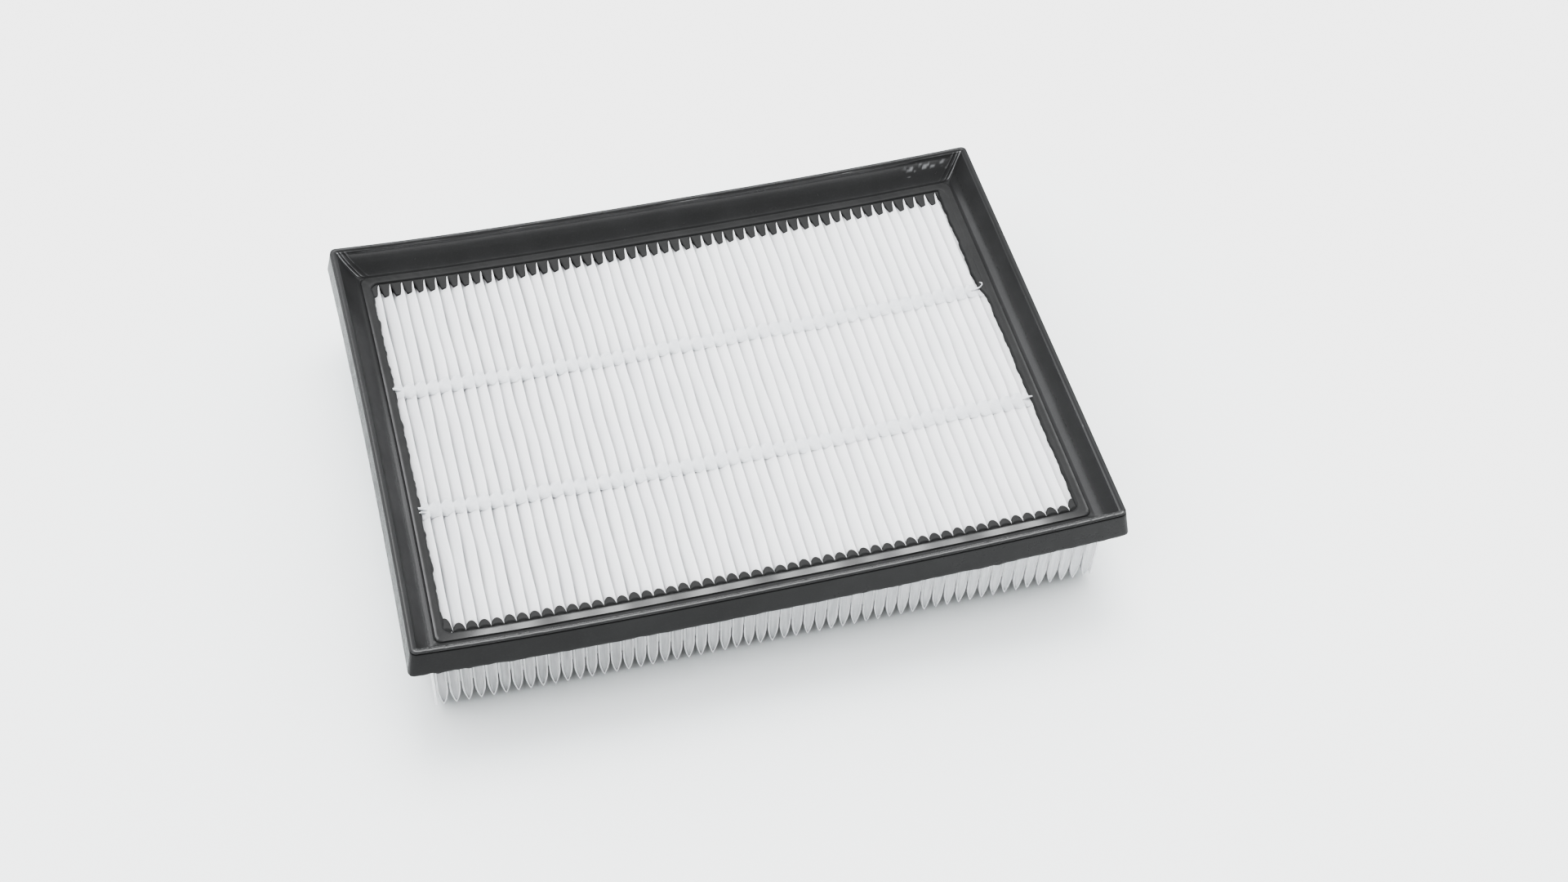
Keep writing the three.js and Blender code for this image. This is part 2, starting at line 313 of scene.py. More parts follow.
# ---------------------------------------------------------------- materials
class Nodes:
    """A short way to write a node material."""

    def __init__(self, name):
        self.material = bpy.data.materials.new(name)
        self.material.use_nodes = True
        self.tree = self.material.node_tree
        self.tree.nodes.clear()
        self.output = self.tree.nodes.new("ShaderNodeOutputMaterial")
        self.coords = self.tree.nodes.new("ShaderNodeTexCoord")

    def node(self, kind, **values):
        """A new node. Each value goes to its setting of that name, or else to its input."""
        made = self.tree.nodes.new("ShaderNode" + kind)
        for key, value in values.items():
            if hasattr(made, key):
                setattr(made, key, value)
            else:
                made.inputs[key.replace("_", " ")].default_value = value
        return made

    def link(self, source, target):
        self.tree.links.new(source, target)

    def scaled(self, scale):
        """Object coordinates in metres, stretched by scale along each axis."""
        mapping = self.node("Mapping")
        mapping.inputs["Scale"].default_value = scale
        self.link(self.coords.outputs["Object"], mapping.inputs["Vector"])
        return mapping.outputs["Vector"]

    def noise(self, scale, detail=4.0, roughness=0.55, stretch=(1, 1, 1), distortion=0.0):
        made = self.node("TexNoise", Scale=scale, Detail=detail, Roughness=roughness, Distortion=distortion)
        self.link(self.scaled(stretch), made.inputs["Vector"])
        return made.outputs["Fac"]

    def ramp(self, value, stops):
        """Colours along a value, from stops of a place and a colour."""
        made = self.node("ValToRGB")
        ramp = made.color_ramp
        while len(ramp.elements) < len(stops):
            ramp.elements.new(0.5)
        for element, (at, colour) in zip(ramp.elements, stops):
            element.position = at
            element.color = (*colour, 1)
        self.link(value, made.inputs["Fac"])
        return made.outputs["Color"]

    def mask(self, value, low, high):
        """Black where a value is below low, white where it is above high."""
        return self.ramp(value, [(low, grey(0.0)), (high, grey(1.0))])

    def mix(self, factor, first, second):
        """One colour into another. The factor and the colours may be values or outputs of nodes."""
        made = self.node("Mix", data_type="RGBA")
        for key, value in zip((0, *MIX_COLOURS), (factor, first, second)):
            if isinstance(value, bpy.types.NodeSocket):
                self.link(value, made.inputs[key])
            else:
                made.inputs[key].default_value = value
        return made.outputs[2]

    def add(self, first, second):
        made = self.node("Math", operation="ADD")
        self.link(first, made.inputs[0])
        self.link(second, made.inputs[1])
        return made.outputs[0]

    def fit(self, value, low, high, new_low, new_high):
        """Maps the span from low to high onto another one, and clamps to it."""
        made = self.node("MapRange")
        for key, number in zip(RANGE_INPUTS, (low, high, new_low, new_high)):
            made.inputs[key].default_value = number
        self.link(value, made.inputs[0])
        return made.outputs[0]

    def bump(self, height, distance, strength, normal=None):
        made = self.node("Bump", Strength=strength, Distance=distance)
        self.link(height, made.inputs["Height"])
        if normal is not None:
            self.link(normal, made.inputs["Normal"])
        return made.outputs["Normal"]

    def through(self, shader, colour, share):
        """Lets a share of the light pass through the sheet."""
        clear = self.node("BsdfTranslucent")
        self.link(colour, clear.inputs["Color"])
        both = self.node("MixShader")
        both.inputs[0].default_value = share
        self.link(shader.outputs[0], both.inputs[1])
        self.link(clear.outputs[0], both.inputs[2])
        self.link(both.outputs[0], self.output.inputs["Surface"])


def grey(value, tint=(1, 1, 1)):
    """A grey colour, tinted if asked."""
    return tuple(value * t for t in tint)


def foam_material():
    """Moulded polyurethane skin: near black, satin, finely pitted, dusty on its edges.

    The mesh's gloss attribute also carries painted light: it is 0 on plain skin, 1 where it is polished, up
    to 2 where a painted highlight turns it light grey, and -1 where painted shade turns it near black in a
    crevice.
    """
    n = Nodes(FOAM_NAME)
    shader = n.node("BsdfPrincipled")
    cool = (0.98, 1.0, 1.01)
    patches = n.noise(55, detail=3)
    base = n.ramp(patches, [(0.35, grey(0.028, cool)), (0.65, grey(0.036, cool))])
    dust = n.mask(n.noise(1500, detail=2), 0.5, 0.72)
    base = n.mix(0.12, base, n.mix(dust, base, (0.08, 0.08, 0.08, 1)))
    worn = n.mask(n.node("NewGeometry").outputs["Pointiness"], 0.5, 0.62)
    base = n.mix(worn, base, (0.055, 0.056, 0.057, 1))
    shine_and_painted_light = n.node("Attribute", attribute_name="gloss").outputs["Fac"]
    # Painted highlight: where the gloss goes above 1 the colour turns light grey, for the painted glints
    # and the lit wrinkles beside the far mitres
    base = n.mix(n.fit(shine_and_painted_light, 1, 2, 0, 1), base, (0.40, 0.405, 0.41, 1))
    # Painted shade: where it goes below 0 the colour turns near black, in the crevice under the crown
    base = n.mix(n.fit(shine_and_painted_light, -1, 0, 1, 0), base, (0.006, 0.006, 0.006, 1))
    n.link(base, shader.inputs["Base Color"])
    dull = n.fit(n.noise(160, detail=5), 0.3, 0.7, 0.32, 0.40)
    n.link(n.add(n.fit(shine_and_painted_light, 0, 1, 0.0, -0.2), dull), shader.inputs["Roughness"])
    level = n.add(n.fit(shine_and_painted_light, -1, 0, -0.24, 0.0), n.fit(shine_and_painted_light, 0, 1, 0.24, 0.95))
    n.link(level, shader.inputs["Specular IOR Level"])
    coarse = n.bump(n.noise(90, detail=2), distance=0.0005, strength=0.15)
    fine = n.bump(n.noise(1500, detail=2), distance=0.00004, strength=0.35, normal=coarse)
    n.link(n.fit(shine_and_painted_light, 0, 0.5, 0.15, 0.02), coarse.node.inputs["Strength"])
    n.link(n.fit(shine_and_painted_light, 0, 0.5, 0.30, 0.05), fine.node.inputs["Strength"])
    n.link(fine, shader.inputs["Normal"])
    n.link(shader.outputs[0], n.output.inputs["Surface"])
    return n.material


def media_material():
    """Nonwoven media: white, matt, faintly clouded, with short fibres and some light through it."""
    n = Nodes("filter_media_fibre")
    shader = n.node("BsdfPrincipled")
    cloud = n.noise(90, detail=5, roughness=0.6, stretch=(1, 0.35, 1))
    base = n.ramp(cloud, [(0.3, (0.91, 0.913, 0.92)), (0.7, (0.945, 0.947, 0.95))])
    fibre = n.noise(900, detail=4, roughness=0.7, stretch=(1, 0.2, 1), distortion=1.5)
    strands = n.mask(fibre, 0.45, 0.7)
    base = n.mix(n.fit(strands, 0, 1, 0.0, 0.22), base, (0.95, 0.952, 0.955, 1))
    n.link(base, shader.inputs["Base Color"])
    n.link(n.fit(fibre, 0.3, 0.7, 0.85, 0.98), shader.inputs["Roughness"])
    shader.inputs["Specular IOR Level"].default_value = 0.2
    soft = n.bump(cloud, distance=0.0003, strength=0.25)
    n.link(n.bump(fibre, distance=0.00012, strength=0.6, normal=soft), shader.inputs["Normal"])
    n.through(shader, base, share=0.45)
    return n.material


def hot_melt_material():
    """Set hot melt: milky, waxy, with flow marks."""
    n = Nodes("hot_melt_wax")
    shader = n.node("BsdfPrincipled")
    flow = n.noise(260, detail=4, distortion=0.8)
    base = n.ramp(flow, [(0.3, (0.80, 0.81, 0.82)), (0.7, (0.86, 0.865, 0.87))])
    n.link(base, shader.inputs["Base Color"])
    n.link(n.fit(flow, 0.3, 0.7, 0.5, 0.7), shader.inputs["Roughness"])
    shader.inputs["Specular IOR Level"].default_value = 0.3
    n.link(n.bump(flow, distance=0.0003, strength=0.3), shader.inputs["Normal"])
    n.through(shader, base, share=0.4)
    return n.material


def seal_material():
    """The adhesive that closes the pleat ends: greyer, streaked upright, and darker towards -X by painted
    shade.
    """
    n = Nodes("edge_seal_adhesive")
    shader = n.node("BsdfPrincipled")
    streak = n.noise(900, detail=3, stretch=(1, 1, 0.08))
    # Painted shade and painted light: a darker and a lighter copy of the colour, mixed along x, so that the
    # -X end looks shaded
    painted_shade_colour = n.ramp(streak, [(0.3, (0.41, 0.412, 0.415)), (0.7, (0.52, 0.522, 0.525))])
    painted_light_colour = n.ramp(streak, [(0.3, (0.58, 0.59, 0.60)), (0.7, (0.72, 0.725, 0.73))])
    place = n.node("SeparateXYZ")
    n.link(n.coords.outputs["Object"], place.inputs[0])
    base = n.mix(n.fit(place.outputs[0], -0.06, 0.13, 0, 1), painted_shade_colour, painted_light_colour)
    n.link(base, shader.inputs["Base Color"])
    n.link(n.fit(streak, 0.3, 0.7, 0.5, 0.7), shader.inputs["Roughness"])
    n.link(n.bump(streak, distance=0.0002, strength=0.4), shader.inputs["Normal"])
    n.link(shader.outputs[0], n.output.inputs["Surface"])
    return n.material


def floor_material():
    """A plain pale sweep, very faintly clouded."""
    n = Nodes("studio_floor")
    shader = n.node("BsdfPrincipled")
    base = n.ramp(n.noise(3, detail=2), [(0.3, (0.80, 0.812, 0.81)), (0.7, (0.81, 0.822, 0.82))])
    n.link(base, shader.inputs["Base Color"])
    shader.inputs["Roughness"].default_value = 0.7
    shader.inputs["Specular IOR Level"].default_value = 0.2
    n.link(shader.outputs[0], n.output.inputs["Surface"])
    return n.material


# ---------------------------------------------------------------- seal frame
def corner_radius(inset):
    """How round the frame's plan is at an inset: a sharp mitre in the cove, rounder at the lip."""
    at = [-2, 0, 1.6, 2.5, 9.0, 9.9, 13.8]
    return np.interp(inset, at, [2.5, 2.4, 1.4, 0.8, 0.7, 2.3, 3.4])


def frame_section():
    """Closed section of the frame as (inset, depth).

    Its parts are put together from the underside out, up, over and in, and then turned about.
    """
    wall = [(-WALL_FLARE + 1.8 * t, 12.4 - 10.6 * t) for t in np.linspace(0, 1, 11)]
    groove = [(-0.12, 1.62), (0.34, 1.46), (0.6, 1.15), (0.5, 0.84), (0.05, 0.74)]
    crown = [(0.03, 0.55), (0.2, 0.22), (0.55, 0.04), (1.0, 0.0), (1.45, 0.05), (1.8, 0.3)]
    crown += [(2.05, 0.6), (2.28, 0.7), (COVE_TOP_INSET, COVE_TOP_DEPTH)]
    wide, deep = FOOT_INSET - COVE_TOP_INSET, FOOT_DEPTH - COVE_TOP_DEPTH
    cove = []
    for angle in np.linspace(0, math.pi / 2, 17)[1:]:
        along, down = math.cos(angle) ** COVE_FLATNESS, math.sin(angle) ** COVE_FLATNESS
        cove.append((FOOT_INSET - wide * along, COVE_TOP_DEPTH + deep * down))
    foot = [(9.5, 10.55), (9.75, 10.85), (9.95, 10.9), (10.15, 10.62), (LEDGE_INSET, LEDGE_DEPTH)]
    ledge = [(u, LEDGE_DEPTH) for u in (10.8, 11.4, 12.0, 12.6, 13.1)]
    lip = [(13.42, 10.5), (13.66, 10.64)] + [(LIP_INSET, d) for d in (10.9, LIP_DEPTH, 12.0)]
    under = [(u, FRAME_DEPTH) for u in (LIP_INSET, 9, 4, 0, -1.2, -1.6)] + [(-1.88, 12.68)]
    return np.array(under + wall + groove + crown + cove + foot + ledge + lip)[::-1]


def frame_ring():
    """The moulded ring as a grid [place round the loop, point of the section].

    Also the outward direction of each place, and the inset and depth of each point of the section.
    """
    section = frame_section()
    inset, depth = section[:, 0], section[:, 1]
    radius = corner_radius(inset)
    corners = [(1, 1), (-1, 1), (-1, -1), (1, -1)]
    in_cove = (inset > COVE_TOP_INSET) & (inset < FOOT_INSET) & (depth < FOOT_DEPTH)
    line = np.interp(depth, END_COVE_DEPTH, END_COVE_INSET)
    straighter = (1 - END_COVE_SHARE) * inset + END_COVE_SHARE * line
    centre_x = {-1: inset - RIM_HALF_X + radius,
                1: RIM_HALF_X - np.where(in_cove, straighter, inset) - radius}
    centre_y = RIM_HALF_Y - inset - radius
    rows, outward = [], []

    def put(x, y, angle):
        way_x, way_y = math.cos(angle), math.sin(angle)
        outward.append((way_x, way_y))
        rows.append(np.stack([x + radius * way_x, y + radius * way_y, RIM_TOP - depth], 1))

    for index, (sx, sy) in enumerate(corners):
        for step in range(CORNER_STEPS + 1):
            put(centre_x[sx], sy * centre_y, (index + step / CORNER_STEPS) * math.pi / 2)
        nx, ny = corners[(index + 1) % 4]
        steps = LONG_STEPS if index % 2 == 0 else SHORT_STEPS
        for step in range(1, steps):
            t = step / steps - CORNER_CROWDING * math.sin(2 * math.pi * step / steps) / (2 * math.pi)
            x = (1 - t) * centre_x[sx] + t * centre_x[nx]
            put(x, ((1 - t) * sy + t * ny) * centre_y, (index + 1) * math.pi / 2)
    return np.array(rows), np.array(outward)[:, None], inset[None, :], depth[None, :]


def faces_long_way(outward):
    """True for the places of the ring on its two long sides."""
    return np.abs(outward[..., 1]) > 0.7


def rough_frame(grid, outward, inset, depth):
    """Flash along the lower edge, a slight unevenness of the skin, and the far mitres' wrinkles."""
    long_side = faces_long_way(outward)
    # Place along a side. The short ones lie 400 further on, so that their pattern differs.
    along = np.where(long_side, grid[..., 0], grid[..., 1] + 400)
    side = np.where(long_side, np.sign(outward[..., 1]), 2 * np.sign(outward[..., 0]))
    low_edge = smooth(10.6, 12.4, depth) * (inset < 1)
    flash = np.zeros(grid.shape[:2])
    for value, seed in ((-1, 11), (1, 12), (-2, 13), (2, 14)):
        span = (-140, 140) if abs(value) == 1 else (300, 500)
        crumbs = bumps(along, seed, 16, span, (0.8, 2.4))
        nicks = bumps(along, seed + 20, 7, span, (0.8, 2.0))
        flash += np.where(side == value, crumbs - 0.6 * nicks, 0)
    outer = (inset < 1.5) & (depth > 0.3)
    push = outer * 0.10 * wave(along, 31, (37, 13, 6.1)) * (depth / FRAME_DEPTH)
    push = push * np.where(long_side, 1.0, 0.35)
    for axis in (0, 1):
        moved = grid[..., axis] + outward[..., axis] * push
        grid[..., axis] = np.clip(moved, -frame_high[axis], frame_high[axis])
    inside = (inset > 2.2) & (inset < 13.7) & (depth < 11.6)
    ripple = 0.07 * wave(along + 2 * inset, 41, (64, 37)) + 0.018 * wave(along - inset, 42, (7.3, 4.1))
    near_crown = (depth < 0.9) * (inset > 0.1) * (inset < 2.1) * (grid[..., 1] < 0) * long_side
    grid[..., 2] -= near_crown * 0.10 * np.clip(wave(along, 44, (9.1, 5.3, 3.1)) + 0.6, 0, 2)
    grid[..., 2] += inside * ripple - low_edge * flash * FLASH_HEIGHT
    fold = mitre_folds(grid, outward, inset, depth)
    grid[..., 1] -= outward[..., 1] * fold * 0.8
    grid[..., 2] += fold * 0.5
    return grid


def mitre_folds(grid, outward, inset, depth):
    """Height of the curved wrinkles in the skin of the far cove beside its two mitres."""
    far = (grid[..., 1] > 0) & faces_long_way(outward)
    from_mitre = RIM_HALF_X - np.abs(grid[..., 0]) - inset
    across = np.clip((inset - COVE_TOP_INSET) / (FOOT_INSET - COVE_TOP_INSET), 0, 1)
    fold = np.zeros(grid.shape[:2])
    for place, curl, half, high in WRINKLES:
        line = place + curl * across * (1 - 0.6 * across)
        fold = np.maximum(fold, high * hump(from_mitre, line, half))
    return fold * smooth(1.4, 2.6, inset) * (1 - smooth(8.8, 9.6, inset)) * (depth < 11) * far


def frame_gloss(grid, outward, inset, depth):
    """How polished the skin is, for the foam's material: below 0 is painted shade in a crevice, above 1 a
    painted highlight, for glints and the lit wrinkles beside the far mitres.
    """
    x, y = grid[..., 0], grid[..., 1]
    long_side = faces_long_way(outward)
    near, far = long_side & (y < 0), long_side & ~(y < 0)
    right = ~long_side & (x > 0)
    in_crown, from_corner = depth < 0.9, RIM_HALF_X - np.abs(x) - inset

    wall = (inset < 0.1) & (depth > 0.7) & (depth < 12.7)
    wall = wall * np.where(near, 0.05 + 0.35 * (x / RIM_HALF_X * 0.5 + 0.5), 0.45)

    crown = np.where(near, 0.9 * hump(inset, 1.1, 1.5, 4), 0.4 * hump(inset, 0.9, 0.9))
    crown = crown * np.where(right, 0.0, 1.0) * in_crown
    crown = crown + 0.8 * smooth(30, -60, y) * right * (inset > 2.0) * (inset < 2.6) * in_crown

    nearer = smooth(56, -20, y)
    foot = hump(inset, 8.9, 0.7 + 1.3 * nearer, 4) * (inset < 9.8) * (depth > 5)
    foot = foot * np.where(long_side, 0.2, np.where(right, 0.2, 0.9) * nearer)

    ledge = near * (inset > 10.2) * (inset < 13.3) * (depth < 11) * smooth(-2, 22, from_corner)
    ledge = ledge * (0.8 + 0.2 * wave(x, 55, (41, 17)))
    edge_light = np.where(right, 0.3 * smooth(60, -40, y), 0.6 * smooth(95, 50, y))
    ledge = ledge + edge_light * ~long_side * (inset > 10.2) * (inset < 10.9) * (depth < 11)

    cove = (inset > 2.1) * (inset < 9.0) * (depth < 10.6)
    cove = cove * np.where(far, 0.6, np.where(right, 0.2 + 0.5 * smooth(4.5, 7.5, inset), 0.1))
    cove = cove + 0.9 * far * hump(inset, 3.3, 1.5, 4) * (depth < 8)

    shine_and_painted_light = np.clip(wall + crown + foot + ledge + cove, 0, 1)
    # Painted shade: the crevice under the crown is set to -1, which paints it near black
    painted_crevice_shade = (inset > 0.2) & (inset < 0.7) & (depth > 0.8) & (depth < 1.5)
    shine_and_painted_light = np.where(painted_crevice_shade, -1.0, shine_and_painted_light)

    # Painted glints on the far cove near its +X end, and painted highlights on the far mitres' wrinkles:
    # both lift the value towards 2, which paints the foam light grey
    glint = wave(x + 0.6 * inset, 51, (12.0, 5.2)) * wave(inset + 0.15 * x, 52, (2.1, 1.5))
    glint = smooth(0.05, 0.5, glint) * smooth(110, 116, x) * (1 - smooth(129, 133, x)) * (y > 0)
    glint = glint * smooth(2.6, 3.6, inset) * (1 - smooth(5.8, 6.6, inset)) * long_side * (depth < 9)
    highest = max(high for *_, high in WRINKLES)
    painted_fold_highlight = np.clip(mitre_folds(grid, outward, inset, depth) / highest - 0.2, 0, 1)
    return shine_and_painted_light + (2 - shine_and_painted_light) * np.clip(painted_fold_highlight + 0.8 * glint, 0, 1)


def section_grid(along, columns, place):
    """A grid [place along, point of the section], from columns of a place across and a depth.

    place turns the place across into x and y.
    """
    grid = np.zeros((len(along), len(columns), 3))
    for j, (across, depth) in enumerate(columns):
        grid[:, j, 0], grid[:, j, 1] = place(across)
        grid[:, j, 2] = RIM_TOP - depth
    return grid


def tooth_bar(side):
    """The foam that runs in between the pleats along one long side: round teeth near, tapered far."""
    reach_x = RIM_HALF_X - LIP_INSET + 1.0
    count = int(round(2 * reach_x / PITCH * TOOTH_POINTS_PER_PITCH))
    x = np.linspace(-reach_x, reach_x, count)
    cell = np.round(x / PITCH)
    local = x - cell * PITCH
    rng = np.random.default_rng(50 + side)
    jitter = rng.uniform(-0.35, 0.3, FOLD_COUNT + 8)[(cell + FOLD_COUNT // 2 + 4).astype(int)]
    away = np.clip(np.abs(local) / TOOTH_HALF, 0, 1)
    if side < 0:
        swell = np.sqrt(1 - away ** 2)
        strip, root_groove = 0.2, 0.75
    else:
        taper = (1 - away) / TOOTH_TAPER
        swell = (0.45 * smooth(-0.15, 1.1, taper) + 0.55 * np.clip(taper, 0, 1)) * (away < 1)
        strip, root_groove = 0.6, 0.0
    longer = np.zeros(count)
    for at, more in LONG_TEETH[side].items():
        longer = np.where(cell == at, more, longer)
    root = LIP_INSET + 0.25
    reach = root + strip + (TOOTH_REACH[side] + jitter + longer - root) * swell
    tip = TOOTH_TIP_DEPTH[side] + 0.15 * (local / TOOTH_HALF) ** 2
    columns = [(12.0, TOOTH_FOOT), (12.0, 12.0), (13.3, LIP_DEPTH + 0.02)]
    for t in np.linspace(0, 1, 10):
        inset = root + (reach - root) * (1 - (1 - t) ** 1.25)
        depth = LIP_DEPTH + (tip - LIP_DEPTH) * t ** 0.65 + root_groove * (1 - smooth(0.08, 0.3, t))
        columns.append((inset, depth))
    for angle in np.linspace(0.25, 1, 4) * math.pi / 2:
        columns.append((reach + 0.4 * math.sin(angle) * swell, tip + 0.6 * (1 - math.cos(angle))))
    columns += [(reach + 0.3 * swell, tip + 2.4), (reach - 0.3, TOOTH_FOOT)]
    return section_grid(x, columns, lambda inset: (x, side * (RIM_HALF_Y - inset)))


def end_fill(side):
    """The foam between the lip and the first open pleat at one end of the pack, -1 or 1 in x."""
    reach_y = RIM_HALF_Y - LIP_INSET + 0.8
    y = np.linspace(-reach_y, reach_y, 200)
    outer = RIM_HALF_X - LIP_INSET + 2.3
    bulge = 0.32 * wave(y, 60 + side, (31, 14, 8)) + 0.12 * wave(y, 70 + side, (4.3, 2.9))
    if side < 0:
        inner = LEFT_FILL_EDGE + (np.minimum(bulge, 0.2) - 0.4 * smooth(76, 84, y))
    else:
        inner = RIGHT_FILL_EDGE - RIGHT_FILL_STEP * smooth(25, 33, y) + 0.55 * bulge
    shelf = LEDGE_DEPTH + 0.1
    drop = 0.05 * wave(y, 80 + side, (23, 11))
    columns = [(outer, FILL_FOOT), (outer, 11.4)]
    for t in np.linspace(0, 1, 8):
        x = (outer - 0.85) * (1 - t) + (inner + 0.8) * t
        columns.append((x, shelf - 0.06 * (1 - t) + 0.08 * t * t + drop * t))
    for angle in np.linspace(0.2, 1, 5) * math.pi / 2:
        depth = shelf + 0.10 + drop + 1.3 * (1 - math.cos(angle))
        columns.append((inner + 0.8 - 0.8 * math.sin(angle), depth))
    columns += [(inner - 0.1, FILL_FOOT - 3), (inner, FILL_FOOT)]
    return section_grid(y, columns, lambda x: (side * x, y))


def make_frame(material):
    """The foam frame: the ring, the teeth at both pleat ends and the fills at both short ends."""
    shell = Shell()
    ring = frame_ring()
    gloss = frame_gloss(*ring)
    shell.ring(rough_frame(*ring), gloss)
    for side in (-1, 1):
        shell.sweep(tooth_bar(side))
        shell.sweep(end_fill(side))
    shell.make("seal_frame_foam", "seal_frame", material, 42)


# ---------------------------------------------------------------- pleated media
def rate_at(x):
    """Depth over which the lean sets in at x: less at the +X end, where grooves look shallower."""
    return LEAN_RATE[0] + (LEAN_RATE[1] - LEAN_RATE[0]) * smooth(-90, 110, x)


def lean(depth, rate):
    """How far a pleat leans towards -X at a depth below its crest."""
    out = 1 - np.exp(-depth / rate)
    return LEAN * out * (1 - smooth(LEAN_BACK_FROM, LEAN_BACK_TO, depth))


def crest_points(half, drop, top, count):
    """(offset, depth) down one side of a rounded crest whose top lies at a depth."""
    angle = np.linspace(0, math.pi / 2, count)
    return half * np.sin(angle), top + drop * (1 - np.cos(angle))


def tongue_half(height, half, foot):
    """Half width of a lower fold's outer or inner face at a height. It starts from nil at its foot."""
    share = np.clip((height - foot) / (BELLY - foot), 0, 1)
    return half * np.sin(share * math.pi / 2) ** 0.75


def media_profile():
    """The folded sheet's closed section as base x, height, and the nearest ridge and fold.

    It runs over the top from -X to +X, and back along the underside. A fold of -1 is an outer wall.
    """
    crest_x, crest_d = crest_points(RIDGE_HALF, CREST_DEPTH, 0, 7)
    flank = np.array([2.9, 3.8, 5, 6.8, 9, 12, 17])
    ridge_x = np.concatenate([crest_x, np.full(len(flank), RIDGE_HALF)])[1:]
    ridge_d = np.concatenate([crest_d, flank])[1:]
    crest = len(crest_x) - 1
    floor_h = np.array([13, 10, 7.5, 5.2, 3.6, 2.4, 1.6, 1.15])
    floor_x = tongue_half(floor_h, HALF_PITCH - RIDGE_HALF, GROOVE_FLOOR)
    slot_x, slot_d = crest_points(SLOT_HALF, 0.6, 1.2, 4)
    slot_top = slot_d[0]
    slot_flank = np.array([3, 6, 9, 12, 17])
    slot_x = np.concatenate([slot_x, np.full(len(slot_flank), SLOT_HALF)])[1:]
    slot_d = np.concatenate([slot_d, slot_flank])[1:]
    fold_h = np.array([13, 10, 7.5, 5.2, 3.4, 2.0, 1.0, 0.3])
    fold_x = tongue_half(fold_h, HALF_PITCH - SLOT_HALF, 0.0)
    outer_wall = np.array([2.9, 4.6, 7, 12, 18, 24, 30, 35.4])
    inner_wall = np.array([4, 7, 12, 18, 24, 30, 35.4])
    outer_end = LAST_RIDGE + RIDGE_HALF
    inner_end = outer_end - SHEET_THICKNESS

    xs, zs, ridge, fold = [], [], [], []

    def put(x, z, k, j):
        for value, values in zip(np.broadcast_arrays(x, z, k, j), (xs, zs, ridge, fold)):
            values.extend(np.atleast_1d(value))

    last = RIDGE_COUNT - 1
    for k in range(RIDGE_COUNT):
        centre = -LAST_RIDGE + k * PITCH
        left, right = centre - HALF_PITCH, centre + HALF_PITCH
        if k > 0:
            put(left + floor_x[::-1], floor_h[::-1], k, k - 1)
            put(centre - ridge_x[::-1], PACK_HEIGHT - ridge_d[::-1], k, k - 1)
        else:
            put(-outer_end, PACK_HEIGHT - outer_wall[::-1], k, -1)
            put(centre - ridge_x[:crest][::-1], PACK_HEIGHT - ridge_d[:crest][::-1], k, -1)
        put(centre, PACK_HEIGHT, k, min(k, FOLD_COUNT - 1))
        if k < last:
            put(centre + ridge_x, PACK_HEIGHT - ridge_d, k, k)
            put(right - floor_x, floor_h, k, k)
            put(right, GROOVE_FLOOR, k, k)
        else:
            put(centre + ridge_x[:crest], PACK_HEIGHT - ridge_d[:crest], k, -1)
            put(outer_end, PACK_HEIGHT - outer_wall, k, -1)
    for k in range(last, -1, -1):
        centre = -LAST_RIDGE + k * PITCH
        left, right = centre - HALF_PITCH, centre + HALF_PITCH
        if k == last:
            put(inner_end, PACK_HEIGHT - inner_wall[::-1], k, -1)
        else:
            put(right - fold_x[::-1], fold_h[::-1], k, k)
            put(centre + slot_x[::-1], PACK_HEIGHT - slot_d[::-1], k, k)
        put(centre, PACK_HEIGHT - slot_top, k, min(k, FOLD_COUNT - 1))
        if k > 0:
            put(centre - slot_x, PACK_HEIGHT - slot_d, k, k - 1)
            put(left + fold_x, fold_h, k, k - 1)
            put(left, 0.0, k, k - 1)
        else:
            put(-inner_end, PACK_HEIGHT - inner_wall, k, -1)
    return np.array(xs), np.array(zs), np.array(ridge), np.array(fold)


def media_rows():
    """Where the sheet's rows of points lie along the pleats: closer together at the teeth."""
    ends = np.array([0, 0.25, 2.5, 5, 8, 10, 10.8, 11.2, 11.6, 12.0, 12.4, 12.8, 13.2, 13.6, 14.0, 14.5,
                     15.2, 16.2])
    middle = np.linspace(-PACK_END + 17.5, PACK_END - 17.5, 31)
    return np.concatenate([-PACK_END + ends, middle, PACK_END - ends[::-1]])


def ridge_wander(y, ridge, seed, size):
    """Each pleat's own slow sideways wander: little where the beads hold it, nil in the foam."""
    total = np.zeros((len(y), RIDGE_COUNT))
    for k in range(RIDGE_COUNT):
        total[:, k] = size * wave(y, seed + k, (118, 57, 33)) + 0.10 * math.sin(seed + 2.7 * k)
    free = 1 - 0.75 * hump(np.abs(y), BEAD_OFFSET, 7)
    free = free * (1 - smooth(84, 97, np.abs(y)))
    return (total * free[:, None])[:, ridge]


def by_side(y, values):
    """The near (-1) or the far (1) one of two values, by the sign of y."""
    return np.where(y > 0, values[1], values[-1])


